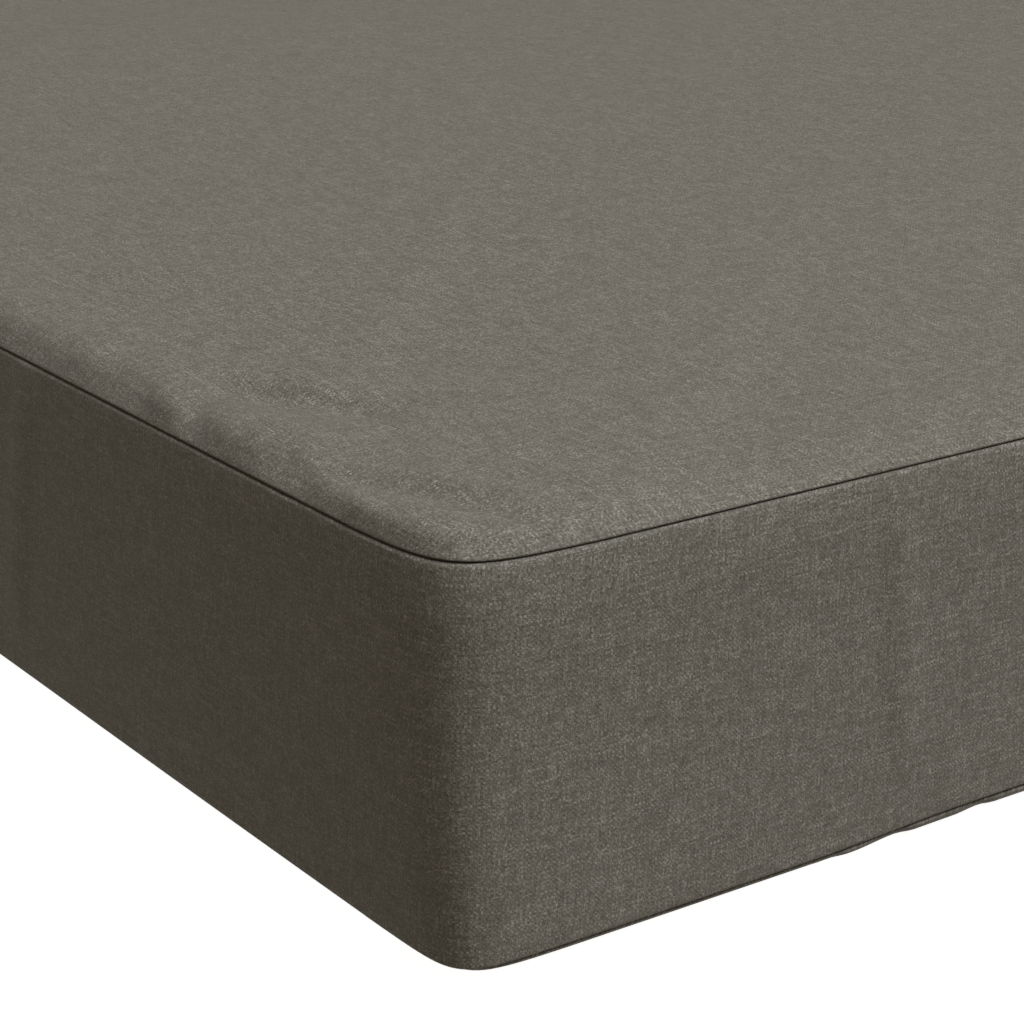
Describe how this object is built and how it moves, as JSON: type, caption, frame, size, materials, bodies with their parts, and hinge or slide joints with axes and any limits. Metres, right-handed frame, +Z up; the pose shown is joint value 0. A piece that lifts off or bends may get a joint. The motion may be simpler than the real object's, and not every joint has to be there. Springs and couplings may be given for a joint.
{
  "type": "bench cushion",
  "caption": "Long boxed seat cushion in plain-woven taupe cloth, with soft corners, sunk seams and a low crown.",
  "frame": {"origin": "on the surface it rests on, under the middle of the cushion", "axes": "+X along its length, +Y from front to back, +Z up through its top"},
  "size_m": [1.1997, 0.5999, 0.0827],
  "materials": {
    "band_cloth": "matt plain weave, taupe grey melange",
    "top_cloth": "matt plain weave, taupe grey melange",
    "bottom_cloth": "matt plain weave, taupe grey melange"
  },
  "bodies": {
    "root": {"boxed_body": "band_cloth", "top_panel": "top_cloth", "bottom_panel": "bottom_cloth"}
  },
  "joints": []
}
